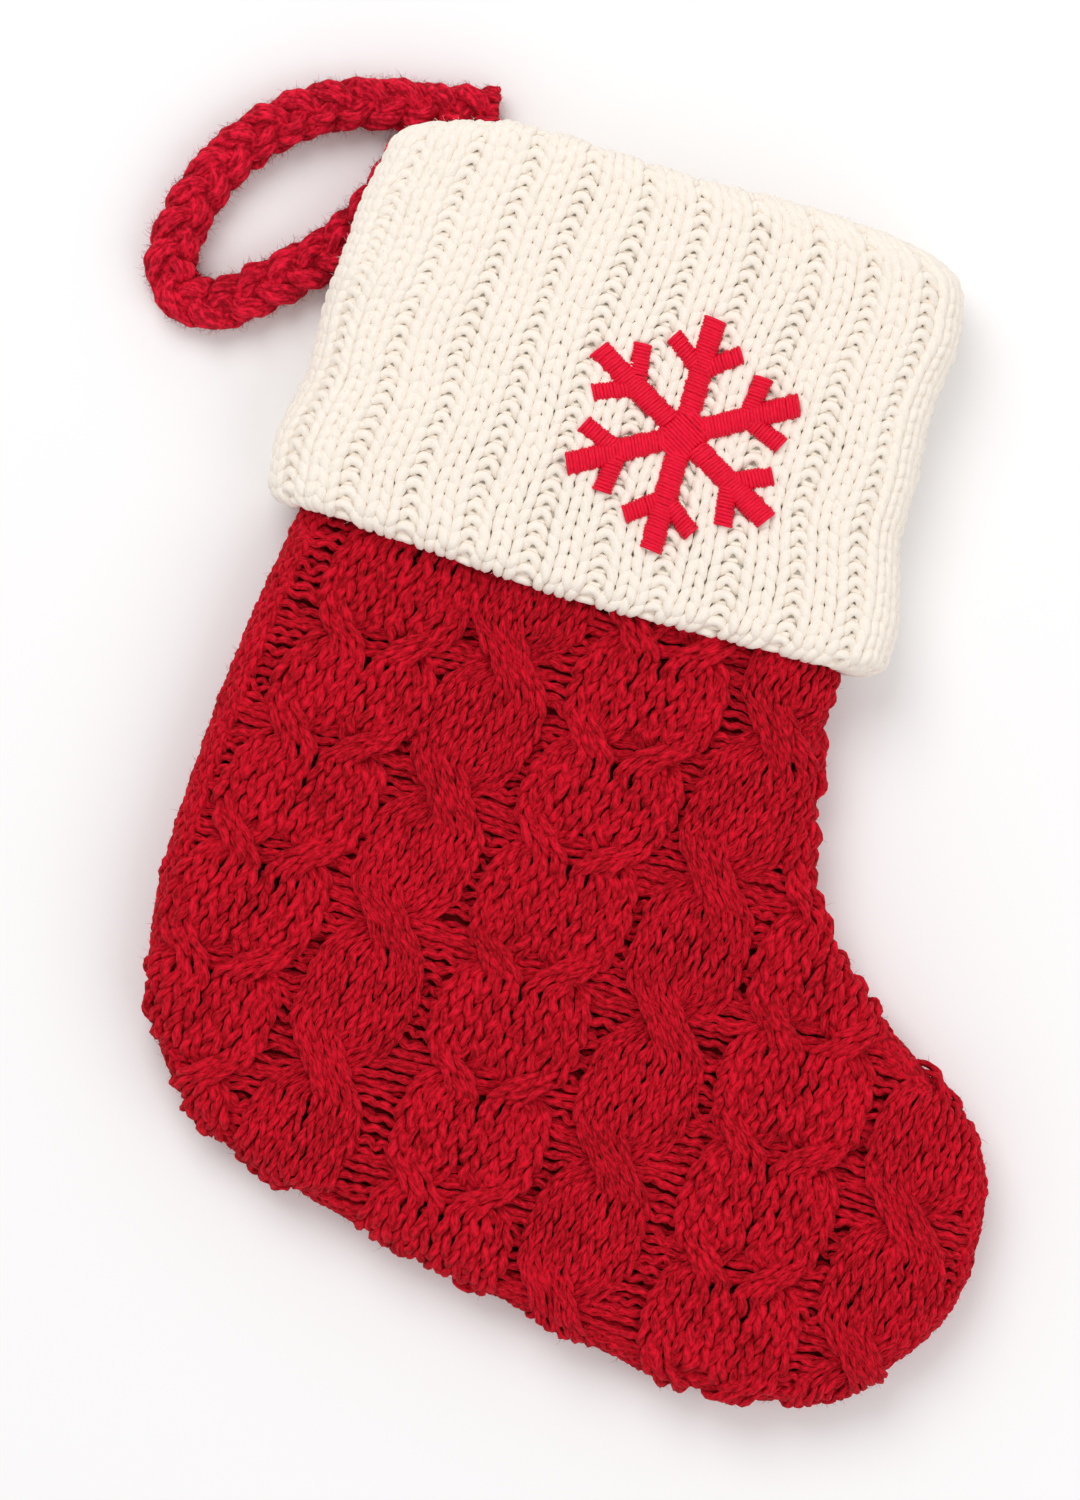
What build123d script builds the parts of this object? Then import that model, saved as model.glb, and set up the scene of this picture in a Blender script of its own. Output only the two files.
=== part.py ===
from build123d import *
from math import radians, sqrt, tan
import os

os.makedirs("parts", exist_ok=True)

# Millimetres. The stocking lies on its back: +X to the toe, +Y to the mouth, +Z out of the front.

# Boot: two knitted panels, seamed round the edge and open at the mouth
boot_thick = 17.0
boot_wall = 3.0
boot_round = 7.0
boot_seam_width = 1.6
boot_tilt = 1.07
tilt_pivot_y = -116.0
mouth_y = 108.0
mouth_left = -70.0
mouth_right = 28.5
boot_outline = [
    (mouth_left, mouth_y), (-72, 74), (-82.2, 24), (-87.4, -14), (-88.8, -62), (-76, -89.5),
    (-46, -100), (8, -111.2), (42, -117.9), (73.5, -112.5), (88.9, -90), (88, -57.5), (50, -29.3),
    (34.6, -5), (31.6, 28), (29, 62), (mouth_right, mouth_y),
]

# Cuff: a knitted band folded over the mouth and sewn to the leg inside
cuff_outline = [(-88.7, 29.5), (-86.6, 116.5), (36.2, 116.5), (39.6, 29.5)]
cuff_corner = 10.0
cuff_thick = 24.0
cuff_round = 9.0
cuff_seam_width = 1.2
inner_ply_y = 94.0
join_seam_y = 91.0
throat_x = (-64.0, 22.0)
throat_height = 6.4
throat_z = 12.6
throat_round = 3.0
throat_y = 118.0
throat_depth = 60.0
throat_gap = 0.6
cord_relief = (-71.5, 78.0, 10.3)
relief_size = 60.0

# Snowflake in satin stitch on the front of the cuff
motif_centre = (-11.7, 65.5)
motif_height = 1.6
motif_round = 0.6
hub_radius = 5.4
spoke_width = 4.4
spoke_tip = 23.5
branch_width = 3.4
branch_root = 13.0
branch_length = 8.5
branch_angle = 52.0

# Plaited cord: the free loop, and its end sewn along the top of the cuff
cord_radius = 4.8
cord_z = 5.0
loop_route = [
    (-77, 116), (-92, 114.3), (-107, 105.4), (-116.6, 92.8), (-120.8, 76.8), (-119, 67),
    (-109.3, 64.9), (-98.4, 74.2), (-87.5, 84.5), (-81.5, 96.5), (-79, 107),
]
end_route = [(-71.0, 117.3), (-63.6, 119.1)]
end_radius = 4.4
tack_route = [(-70.2, 117.5), (-66.0, 118.52)]
tack_radius = 4.9

# Larger than the whole object, and the share of a run that a bend may take up
far = 400.0
run_share = 0.45
level_tolerance = 0.01
mouth_band = 0.5


def bend_radii(route):
    """The radius at each bend of the route, from the shorter run beside it."""
    radii = []
    for before, here, after in zip(route, route[1:], route[2:]):
        first = Vector(*here) - Vector(*before)
        second = Vector(*after) - Vector(*here)
        half_turn = radians(first.get_angle(second)) / 2
        run = min(first.length, second.length)
        radii.append(run_share * run / tan(half_turn))
    return radii


def slab(axis, low, high):
    """A block that spans everything between two planes across one axis."""
    size = [far, far, far]
    middle = [0, 0, 0]
    size["XYZ".index(axis)] = high - low
    middle["XYZ".index(axis)] = (high + low) / 2
    return Pos(*middle) * Box(*size)


def pillow(face, thick, rounding, open_end):
    """A flat shape of one thickness with rounded edges, square at the mouth if it is open."""
    body = extrude(face, thick)
    flat = body.edges().filter_by(lambda e: abs(e.bounding_box().size.Z) < level_tolerance)
    if open_end:
        top = max(e.center().Y for e in flat)
        flat = flat.filter_by(lambda e: e.center().Y < top - mouth_band)
    return fillet(flat, rounding)


def boot_face():
    curve = FilletPolyline(*boot_outline, radius=bend_radii(boot_outline))
    mouth = Line(boot_outline[-1], boot_outline[0])
    return make_face([curve, mouth])


def lean(shape):
    """Raises the leg to the middle of the cuff while the foot stays on the floor."""
    return Pos(0, tilt_pivot_y, 0) * Rot(boot_tilt, 0, 0) * Pos(0, -tilt_pivot_y, 0) * shape


def boot_solid():
    return lean(pillow(boot_face(), boot_thick, boot_round, True))


def boot_hollow():
    inner = offset(boot_face(), -boot_wall, kind=Kind.ARC)
    flat_hollow = pillow(inner, boot_thick - 2 * boot_wall, boot_round - boot_wall, True)
    top = flat_hollow.faces().sort_by(Axis.Y)[-1]
    flat_hollow = flat_hollow + extrude(top, 2 * boot_wall)
    return lean(Pos(0, 0, boot_wall) * flat_hollow)


def boot_parts(solid, hollow):
    shell = solid - hollow
    middle = boot_thick / 2
    low = lean(slab("Z", -far / 4, middle - boot_seam_width / 2))
    strip = lean(slab("Z", middle - boot_seam_width / 2, middle + boot_seam_width / 2))
    high = lean(slab("Z", middle + boot_seam_width / 2, far / 4))
    return shell & high, shell & low, shell & strip


def throat(grow):
    width = throat_x[1] - throat_x[0] + 2 * grow
    block = Box(width, throat_depth, throat_height + 2 * grow)
    block = fillet(block.edges().filter_by(Axis.Y), throat_round)
    return Pos((throat_x[0] + throat_x[1]) / 2, throat_y, throat_z) * block


def cuff_blank():
    face = make_face(Polyline(*cuff_outline, close=True))
    face = fillet(face.vertices(), cuff_corner)
    return pillow(face, cuff_thick, cuff_round, False)


def relief():
    """Room behind the cuff's corner for the cord to pass and swing."""
    x, y, z = cord_relief
    return Pos(x, y, z) * Box(relief_size, relief_size, relief_size, align=(Align.MAX, Align.MIN, Align.MAX))


def cuff_parts(solid, hollow):
    outer = cuff_blank() - solid
    inner = hollow & slab("Y", inner_ply_y, mouth_y)
    cuff = outer + inner - throat(0) - relief()
    middle = cuff_thick / 2
    strip = cuff & slab("Z", middle - cuff_seam_width / 2, middle + cuff_seam_width / 2)
    front = cuff & slab("Z", middle + cuff_seam_width / 2, far / 4)
    back = cuff & slab("Z", -far / 4, middle - cuff_seam_width / 2)
    centre_x = motif_centre[0]
    left = strip & slab("X", -far / 2, centre_x)
    right = strip & slab("X", centre_x, far / 2)
    return front, back, left, right


def join_seam(hollow):
    return (hollow & slab("Y", join_seam_y, inner_ply_y)) - throat(throat_gap)


def on_cuff(shape, angle):
    return Pos(motif_centre[0], motif_centre[1], cuff_thick) * Rot(0, 0, angle) * shape


def raised(face):
    body = extrude(face, motif_height)
    top = body.faces().sort_by(Axis.Z)[-1]
    return fillet(top.edges(), motif_round)


def hub():
    return on_cuff(raised(RegularPolygon(hub_radius, 6)), 0)


def spoke(angle):
    flat = hub_radius * sqrt(3) / 2
    face = Pos((flat + spoke_tip) / 2, 0) * Rectangle(spoke_tip - flat, spoke_width)
    for side in (-1, 1):
        bar = Pos(branch_length / 2, 0) * Rectangle(branch_length, branch_width)
        face = face + Pos(branch_root, 0) * Rot(0, 0, side * branch_angle) * bar
    return on_cuff(raised(face), angle)


def tube(route, radii, radius):
    path = FilletPolyline(*route, radius=radii) if radii else Line(*route)
    section = Plane(origin=path @ 0, z_dir=path % 0) * Circle(radius)
    return sweep(section, path=path)


def loop():
    route = [(x, y, cord_z) for x, y in loop_route]
    radii = bend_radii(route)
    print("loop bend radii", [round(r, 1) for r in radii])
    path = FilletPolyline(*route, radius=radii)
    print("loop length", round(path.length, 1))
    return tube(route, radii, cord_radius)


def cord_end():
    return tube([(x, y, cord_z) for x, y in end_route], None, end_radius)


def tack(end):
    sleeve = tube([(x, y, cord_z) for x, y in tack_route], None, tack_radius)
    return sleeve - end


solid = boot_solid()
hollow = boot_hollow()
nodes = {}
nodes["boot_front_panel"], nodes["boot_back_panel"], nodes["boot_edge_seam"] = boot_parts(solid, hollow)
front, back, left, right = cuff_parts(solid, hollow)
nodes["hanging_loop"] = loop()
nodes["loop_end"] = cord_end()
nodes["loop_tack_stitches"] = tack(nodes["loop_end"]) - front - back
nodes["loop_end"] = nodes["loop_end"] - back - front
nodes["cuff_front_panel"] = front
nodes["cuff_back_panel"] = back
nodes["cuff_side_seam_left"] = left
nodes["cuff_side_seam_right"] = right
nodes["cuff_join_seam"] = join_seam(hollow)
nodes["snowflake_hub"] = hub()
for number in range(6):
    nodes["snowflake_spoke_%d" % (number + 1)] = spoke(30 + 60 * number)

cord_nodes = ("hanging_loop", "loop_end", "loop_tack_stitches")
box = Compound([shape for name, shape in nodes.items() if name not in cord_nodes]).bounding_box()
print("box without the cord", box.min, box.max)

for name, shape in nodes.items():
    print(name, len(shape.solids()), round(shape.volume, 1))
    export_step(shape.solid(), "parts/" + name + ".step")
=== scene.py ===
import math

import bpy
import numpy as np
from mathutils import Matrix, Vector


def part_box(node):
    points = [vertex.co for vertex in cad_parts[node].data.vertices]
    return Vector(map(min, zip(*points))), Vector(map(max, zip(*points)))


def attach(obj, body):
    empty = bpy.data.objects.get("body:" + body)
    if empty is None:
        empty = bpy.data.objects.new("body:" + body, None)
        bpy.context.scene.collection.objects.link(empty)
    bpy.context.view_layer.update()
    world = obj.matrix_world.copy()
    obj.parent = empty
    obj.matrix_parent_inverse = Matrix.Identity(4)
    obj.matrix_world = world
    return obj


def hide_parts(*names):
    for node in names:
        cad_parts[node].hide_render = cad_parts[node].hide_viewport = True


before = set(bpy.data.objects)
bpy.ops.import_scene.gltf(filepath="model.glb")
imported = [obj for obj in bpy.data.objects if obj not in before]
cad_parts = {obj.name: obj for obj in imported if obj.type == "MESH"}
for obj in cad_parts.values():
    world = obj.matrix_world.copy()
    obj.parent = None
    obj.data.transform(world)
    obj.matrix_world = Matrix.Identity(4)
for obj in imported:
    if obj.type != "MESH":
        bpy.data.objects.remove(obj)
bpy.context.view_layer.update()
MM = 0.001
rng = np.random.default_rng(24)

# ---------------------------------------------------------------- sizes, in millimetres
# Yarn tubes: their sides, where they show and where they hardly do, the lowest heights of yarn,
# fabric and fibre, and a fibre's radius
SIDES = 8
COARSE_SIDES = 5
FLOOR = 0.05
FABRIC_FLOOR = 0.15
FIBRE_FLOOR = 0.06
FIBRE = 0.036

# Boot: the outline of both panels, their section and lean, and their yarns and stitches
BOOT_OUTLINE = [
    (-70, 150), (-70, 108), (-72, 74), (-82.0, 24), (-86.8, -14), (-88.4, -59), (-75, -88.5),
    (-47, -100), (8.5, -111.2), (42, -117.9), (69.5, -112.2), (88.5, -90), (88.6, -67),
    (84.1, -54.1), (65.6, -41.5), (49.2, -29.7), (36.5, -15.5), (33.3, 1), (29.2, 26), (28, 62),
    (27.5, 108), (27.5, 150),
]
BOOT_ROUND = 5.6
BOOT_TOP = 44.0
BOOT_FOOT = -124.0
BOOT_MID = 8.5
BOOT_LEAN = math.tan(math.radians(1.07))
LEAN_PIVOT = -116.0
BOOT_PUFF = 0.9
BOOT_GROUND = (-2.7, -3.5)
GROUND_X = (-94, 95)
GROUND_TOP = 101
GROUND_STEP = 2.0
BOOT_YARN = {"horseshoe": 0.95, "rope": 0.71, "purl": 0.82}
BOOT_PLY = {"ply": 0.17, "twist": 3.4}
WALE = {"horseshoe": 3.35, "rope": 2.5}
COURSE = {"horseshoe": 4.3, "rope": 3.85, "purl": 4.2}
ROW_TILT = {"horseshoe": 0.0, "rope": -0.15}
FLANK = {"horseshoe": 0.13, "rope": 0.07}
SEAM_TURNS = (-1.04, -0.62, -0.21, 0.21, 0.62, 1.04)
SEAM_STITCH = 3.3
SEAM_WIDTH = 2.4
LEG_ABOVE = -70

# Cuff: its side and hem lines, its folds, and its rib of two knit wales and one purl
CUFF_LEFT = [(30, -87.8), (41, -88.4), (57, -86.4), (85, -85.8), (116, -82.6)]
CUFF_RIGHT = [(30, 39.4), (37.5, 39.4), (57, 35.4), (75, 34.1), (100, 35.2), (116, 34.4)]
CUFF_Y = (30.4, 115.2)
CUFF_HALF = 10.9
CUFF_MID = 12.0
HEM_ROUND = 3.4
FOLD_ROUND = 4.1
FOLD_CORNER = (2.2, 8.0)
TOP_SLOPE = (-62.0, 0.27)
TOP_FALL = (-12.0, 0.045)
ROW_WAVE = 0.54
HEM_CORNER = (1.5, 3.5)
HEM_LINE = [(-88, 1.8), (-76, 1.7), (-58, 0.2), (-26, -1.8), (0, -1.4), (28, -0.7), (40, -0.4)]
INNER_PLY = 21.0
CUFF_GROUND = (-0.95, -2.0)
CUFF_YARN = 1.12
CUFF_COURSE = 2.9
CUFF_REPEATS = 22
RIB_START = 8.3
PURL_SHARE = 0.3
RIB_PLACES = (0.175, 0.525, 0.85)
CORD_TOP = 10.4
CORD_GAP = 0.6
PROP_START = (-64, 70)
PROP_RUN = (8, 10)

# Cord: the free loop from the cuff's corner, its sewn-down end, and its strands of yarn
LOOP_ROUTE = [
    (-77, 116), (-92, 114.3), (-107, 105.4), (-116.6, 92.8), (-120.8, 76.8), (-119, 67),
    (-109.3, 64.9), (-98.4, 74.2), (-87.5, 84.5), (-81.5, 96.5), (-79, 107),
]
END_ROUTE = [(-77.0, 116.0), (-71.0, 117.3), (-65.0, 118.8)]
CORD_Z = 5.0
CORD_WIDTH = 9.6
CORD_STEP = 0.55
PLAIT_LENGTH = 20.5
STRAND_HALF = 1.9
STRAND_YARN = 1.15
STRAND_YARNS = 4
STRAND_CORE = 1.7
STRAND_RISE = 1.5
STRAND_TURN = 23.0
STRAND_REACH = 1.5
CORD_CORE = 2.1
TACK_X = (-74.5, -65.0)
TACK_PITCH = 2.2
TACK_THREAD = 0.3

# Snowflake: its middle, how far the embroidery draws the rib in, and its satin bars
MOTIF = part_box("snowflake_hub")
MOTIF_CENTRE = (-11.7, 65.5)
DRAWN_IN = 0.16
DRAWN_REACH = 42.0
HUB_FLAT = 4.67
SPOKE_TIP = 23.5
SPOKE_WIDTH = 4.4
BRANCH_ROOT = 13.0
BRANCH_LENGTH = 8.5
BRANCH_WIDTH = 3.4
BRANCH_ANGLE = 52.0
THREAD = 0.4
THREAD_PITCH = 0.64
SATIN_BASE = CUFF_MID + CUFF_HALF + 0.9


# ---------------------------------------------------------------- mesh making
def unit(v):
    """Vectors of length one."""
    return v / np.maximum(np.linalg.norm(v, axis=-1, keepdims=True), 1e-9)


def tubes(paths, radius, sides=SIDES, ply=0.1, twist=5.0):
    """Closed yarn tubes along N paths: vertices, sides, end caps, yarn coordinates, normals."""
    count, steps, _ = paths.shape
    radius = np.broadcast_to(radius, (count, steps))
    tangent = unit(np.gradient(paths, axis=1))
    normal = np.zeros_like(paths)
    start = np.cross(tangent[:, 0], (0.31, 0.17, 0.93))
    weak = np.linalg.norm(start, axis=1) < 0.2  # nearly along the helper axis
    start[weak] = np.cross(tangent[weak, 0], (1.0, 0.2, 0.0))
    normal[:, 0] = unit(start)
    for i in range(1, steps):
        along = np.sum(normal[:, i - 1] * tangent[:, i], axis=1, keepdims=True)
        normal[:, i] = unit(normal[:, i - 1] - along * tangent[:, i])
    binormal = np.cross(tangent, normal)
    run = np.linalg.norm(np.diff(paths, axis=1), axis=2)
    length = np.concatenate([np.zeros((count, 1)), np.cumsum(run, axis=1)], axis=1)
    angle = np.linspace(0, 2 * np.pi, sides, endpoint=False)
    phase = rng.uniform(0, 2 * np.pi, (count, 1, 1))
    wave = np.cos(2 * angle - 2 * np.pi * length[:, :, None] / twist + phase)
    reach = radius[:, :, None] * (1 + ply * wave)
    ring = (np.cos(angle)[:, None] * normal[:, :, None, :]
            + np.sin(angle)[:, None] * binormal[:, :, None, :])
    verts = paths[:, :, None, :] + reach[..., None] * ring
    verts[..., 2] = np.maximum(verts[..., 2], FLOOR)
    yarn = np.zeros(verts.shape)
    yarn[..., 0] = length[:, :, None] + rng.uniform(0, 400, (count, 1, 1))
    yarn[..., 1] = np.cos(angle)
    yarn[..., 2] = np.sin(angle)
    index = np.arange(count * steps * sides).reshape(count, steps, sides)
    after = np.roll(index, -1, axis=2)
    quads = np.stack([index[:, :-1], after[:, :-1], after[:, 1:], index[:, 1:]], axis=-1)
    caps = np.concatenate([index[:, 0, ::-1], index[:, -1]])
    return (verts.reshape(-1, 3), quads.reshape(-1, 4), caps, yarn.reshape(-1, 3),
            ring.reshape(-1, 3))


def mesh_object(name, verts, faces, material, body, yarn=None):
    """A mesh from numpy arrays in millimetres; faces is a list of (count, corners) arrays."""
    mesh = bpy.data.meshes.new(name)
    loops = np.concatenate([f.reshape(-1) for f in faces])
    totals = np.concatenate([np.full(len(f), f.shape[1]) for f in faces])
    starts = np.concatenate([[0], np.cumsum(totals)[:-1]])
    mesh.vertices.add(len(verts))
    mesh.vertices.foreach_set("co", (np.asarray(verts) * MM).astype(np.float32).ravel())
    mesh.loops.add(len(loops))
    mesh.loops.foreach_set("vertex_index", loops.astype(np.int32))
    mesh.polygons.add(len(totals))
    mesh.polygons.foreach_set("loop_start", starts.astype(np.int32))
    mesh.update(calc_edges=True)
    mesh.validate()
    mesh.polygons.foreach_set("use_smooth", np.ones(len(mesh.polygons), dtype=bool))
    if yarn is not None:
        data = mesh.attributes.new("yarn", "FLOAT_VECTOR", "POINT")
        data.data.foreach_set("vector", yarn.astype(np.float32).ravel())
    mesh.materials.append(material)
    obj = bpy.data.objects.new(name, mesh)
    bpy.context.scene.collection.objects.link(obj)
    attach(obj, body)
    return obj


def join(groups):
    """Joins several tubes() results into one."""
    verts, quads, caps, yarn, ring = [], [], [], [], []
    base = 0
    for v, q, c, y, r in groups:
        verts.append(v)
        quads.append(q + base)
        caps.append(c + base)
        yarn.append(y)
        ring.append(r)
        base += len(v)
    cat = np.concatenate
    return cat(verts), quads, caps, cat(yarn), cat(ring)


def yarn_object(name, groups, material, body):
    """One object from several tubes() results, with the vertices and normals that fibres need."""
    verts, quads, caps, yarn, ring = join(groups)
    obj = mesh_object(name, verts, quads + caps, material, body, yarn)
    return obj, verts, ring


def smoothstep(x):
    """0 up to x = 0, 1 from x = 1, and eased between them."""
    x = np.clip(x, 0, 1)
    return x * x * (3 - 2 * x)


def spline(points, count):
    """A Catmull-Rom curve through control points, used for the stitch templates."""
    p = np.asarray(points, float)
    p = np.vstack([2 * p[0] - p[1], p, 2 * p[-1] - p[-2]])
    t = np.linspace(0, len(p) - 3 - 1e-6, count)
    i = t.astype(int)
    f = (t - i)[:, None]
    a, b, c, d = p[i], p[i + 1], p[i + 2], p[i + 3]
    return 0.5 * (2 * b + (c - a) * f + (2 * a - 5 * b + 4 * c - d) * f ** 2
                  + (3 * b - a - 3 * c + d) * f ** 3)


# Stitch templates: across in wales, along in courses, up in yarn radii
def stitch(leg, stagger, count):
    """A whole loop from its left leg; the right leg mirrors it, set back by the stagger."""
    mirror = [(-a, b - stagger, c) for a, b, c in leg[::-1]]
    a, b, c = leg[-1]
    return spline(leg + [(0.0, b + 0.03 - stagger / 2, c - 0.2)] + mirror, count)


KNIT = stitch([(-0.3, -0.28, -1.9), (-0.16, -0.12, -1.2), (-0.12, 0.09, -0.2), (-0.2, 0.37, 0.45),
               (-0.31, 0.67, 0.35), (-0.36, 0.93, -0.35), (-0.33, 1.12, -1.3), (-0.17, 1.3, -2.0)],
              0.5, 27)
RIB_KNIT = stitch([(-0.25, -0.34, -1.1), (-0.215, -0.17, -0.45), (-0.195, 0.05, 0.0),
                   (-0.22, 0.35, 0.15), (-0.275, 0.65, 0.15), (-0.305, 0.95, 0.0),
                   (-0.29, 1.14, -0.4), (-0.2, 1.3, -1.1)],
                  0.0, 25)
PURL_HEAD = spline([(-0.56, -0.44, -1.3), (-0.45, -0.14, -0.5), (-0.25, 0.2, 0.0), (0, 0.32, 0.1),
                    (0.25, 0.2, 0.0), (0.45, -0.14, -0.5), (0.56, -0.44, -1.3)], 13)
PURL_SINK = spline([(-0.6, 0.95, -1.2), (-0.3, 0.7, -0.6), (0, 0.6, -0.4), (0.3, 0.7, -0.6),
                    (0.6, 0.95, -1.2)], 11)
# The rib's stitches: template, base height, share of the yarn's radius, how much fatter the
# middle is, and the radius's share away from the embroidery
RIB_STITCHES = {
    "knit": (RIB_KNIT, 0.0, 0.82, 0.42, 1.02),
    "purl": (PURL_HEAD, -0.15, 0.88, 0.0, 1.09),
    "sunk": (PURL_SINK, -0.55, 0.7, 0.0, 1.09),
}


# ---------------------------------------------------------------- boot surface
def rounded(outline, per_corner=14):
    """The smooth line that a quadratic B-spline draws round a list of corners."""
    p = np.asarray(outline, float)
    t = np.linspace(0, 1, per_corner, endpoint=False)[:, None]
    pieces = []
    for a, b, c in zip(p, p[1:], p[2:]):
        start, end = (a + b) / 2, (b + c) / 2
        pieces.append((1 - t) ** 2 * start + 2 * t * (1 - t) * b + t ** 2 * end)
    return np.vstack(pieces + [((p[-2] + p[-1]) / 2)[None]])


EDGE = rounded(BOOT_OUTLINE)


def outline_distance(xy):
    """Distance inside the boot's outline, the nearest outline point and the inward normal."""
    a, b = EDGE[:-1], EDGE[1:]
    ab = b - a
    inward_all = unit(np.stack([-ab[:, 1], ab[:, 0]], axis=1))
    flat = xy.reshape(-1, 2)
    dist = np.empty(len(flat))
    foot = np.empty_like(flat)
    inward = np.empty_like(flat)
    for s in range(0, len(flat), 20000):
        q = flat[s:s + 20000]
        ap = q[:, None, :] - a[None]
        t = np.clip(np.sum(ap * ab, axis=2) / np.sum(ab * ab, axis=1), 0, 1)
        near = a[None] + t[..., None] * ab[None]
        gap = np.linalg.norm(q[:, None, :] - near, axis=2)
        k = np.argmin(gap, axis=1)
        row = np.arange(len(q))
        foot[s:s + 20000] = near[row, k]
        side = np.sum((q - near[row, k]) * inward_all[k], axis=1)
        dist[s:s + 20000] = np.where(side >= 0, 1, -1) * gap[row, k]
        inward[s:s + 20000] = inward_all[k]
    shape = xy.shape[:-1]
    return dist.reshape(shape), foot.reshape(xy.shape), inward.reshape(xy.shape)


# How much further the fabric reaches round the edge than its plan shows
UNROLL = (math.pi / 2 - 1) * BOOT_ROUND


def boot_middle(y):
    """The height of the boot's middle plane, which rises towards the cuff."""
    return BOOT_MID + BOOT_LEAN * (y - LEAN_PIVOT)


def boot_place(points, side):
    """Carries fabric coordinates (x, y, height) onto the boot's front (+1) or back (-1)."""
    d, foot, inward = outline_distance(points[..., :2])
    angle = np.clip((d + UNROLL) / BOOT_ROUND, 0, math.pi / 2)
    curled = (d < BOOT_ROUND)[..., None]
    plan = np.where(curled, foot + inward * (BOOT_ROUND * (1 - np.cos(angle)))[..., None],
                    points[..., :2])
    normal = np.concatenate([np.where(curled, -inward * np.cos(angle)[..., None], 0),
                             np.where(curled[..., 0], np.sin(angle), 1)[..., None]], axis=-1)
    x, y = points[..., 0], points[..., 1]
    puff = BOOT_PUFF * np.sin(x * 0.045 + 0.6) * np.sin(y * 0.037 + 1.0) * smoothstep(d / 14)
    height = (BOOT_ROUND + puff) * np.sin(angle)
    out = np.empty(points.shape)
    out[..., :2] = plan + points[..., 2:3] * normal[..., :2]
    out[..., 2] = height + points[..., 2] * normal[..., 2]
    out[..., 2] = boot_middle(y) + side * out[..., 2]
    out[..., 2] = np.maximum(out[..., 2], FABRIC_FLOOR)
    return out


# ---------------------------------------------------------------- cable columns
# Each column: kind, its centre line as (y, x) pairs, and the y of every crossing
COLUMNS = [
    ("horseshoe", [(60, -50), (5.5, -60), (-9.5, -63.2), (-32.5, -67.6), (-56, -71.8),
                   (-81.5, -75.6), (-130, -84)],
     [57, 33.4, 9.9, -11.5, -35.5, -58.9, -82.1, -105.6, -129]),
    ("rope", [(60, -25.6), (1.5, -34.4), (-20.5, -38.4), (-38.5, -41.2), (-58.5, -43.4),
              (-78.5, -46.6), (-130, -53.4)],
     [71.5, 42.5, 13.5, -15.5, -43.5, -74.5, -104.5, -134]),
    ("horseshoe", [(60, 1.8), (11.5, -4.6), (-19.5, -9.6), (-41, -12), (-68.5, -14), (-88.5, -15.4),
                   (-130, -18.6)],
     [72, 48.5, 25, 2.5, -19.5, -44.5, -68.5, -91.5, -115, -138]),
    ("rope", [(60, 28.3), (1.5, 21.8), (-18.5, 18), (-38.5, 17.4), (-58.5, 15.8), (-94.5, 12.4),
              (-130, 8.6)],
     [74, 44, 13.5, -17.5, -47.5, -77.5, -108, -138]),
    ("horseshoe", [(60, 48.4), (-66.5, 44.8), (-91.5, 44), (-130, 42.8)],
     [52, 28.5, 5, -18.5, -42.5, -66.5, -91.5, -115.5, -139]),
    ("rope", [(60, 77), (-72.5, 73.4), (-130, 71.8)],
     [77, 47, 17, -13, -42.5, -72.5, -102.5, -133]),
]
# A cable's wales, the length of a crossing, how the column narrows at one and swells between
# two, how high it stands, and how far its front and back halves part at a crossing
WALES = 8
CROSSING = {"horseshoe": 9.5, "rope": 16.0}
PINCH = {"horseshoe": 0.05, "rope": 0.13}
SWELL = 0.12
CROWN = {"horseshoe": 0.95, "rope": 1.7}
FRONT_LIFT = {"horseshoe": 1.1, "rope": 1.6}
BACK_LIFT = -1.5
HORSESHOE_LIFT = 0.35
# The purl bars: the depths of their two layers, how far they reach under the cables, how long
# the ones past the last column are, their holes, and the short ones inside a horseshoe
GUTTER_DEPTH = -0.45
SUNK = 1.6
BARE = {"horseshoe": 3.2, "rope": 5.0}
BAR_TUCK = 1.8
LAST_BAR = 9
HOLE_PITCH = 8.5
HOLE_SIZE = (1.7, 2.4)
CENTRE_BAR_ROWS = np.array([4.6, 3.0, 1.4, -0.4, -2.0])
CENTRE_BAR_HALF = 4.6
EDGE_GAP = {"stitch": 0.6, "bar": 0.8}
HEEL_Y = -85
HEEL_SIDE = EDGE[:np.argmax(EDGE[:, 1] < HEEL_Y)][::-1]


def column_centre(column, y):
    """The x of a column's centre line."""
    line = np.array(column[1][::-1], float)
    return np.interp(y, line[:, 0], line[:, 1])


def between(column, y):
    """0 at each crossing and 1 half way to the next one."""
    crossings = np.array(column[2], float)
    place = np.interp(-y, -crossings, np.arange(len(crossings)))
    return np.sin(np.pi * (place - np.floor(place)))


def pinch(column, y):
    """A column's width factor: drawn in near its crossings and swollen between them."""
    gap = np.min(np.abs(y[..., None] - np.array(column[2], float)), axis=-1)
    return 1 + SWELL * between(column, y) - PINCH[column[0]] * np.exp(-(gap / 5.5) ** 2)


def half_width(column, y):
    """Half a column's width at a height."""
    return WALES / 2 * WALE[column[0]] * pinch(column, y)


def turned(column, y, start):
    """Which half of a cable a wale lies in, 0 or 1 and between them at a crossing, and its lift."""
    length = CROSSING[column[0]]
    passed = sum(smoothstep((c + length / 2 - y) / length) for c in column[2])
    whole = np.floor(passed + 1e-9)
    share = passed - whole
    now = (start + whole) % 2
    bump = np.sin(np.pi * np.clip(share, 0, 1)) ** 0.8
    lift = np.where(now == 0, FRONT_LIFT[column[0]], BACK_LIFT) * bump
    return now + (1 - 2 * now) * share, lift


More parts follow.
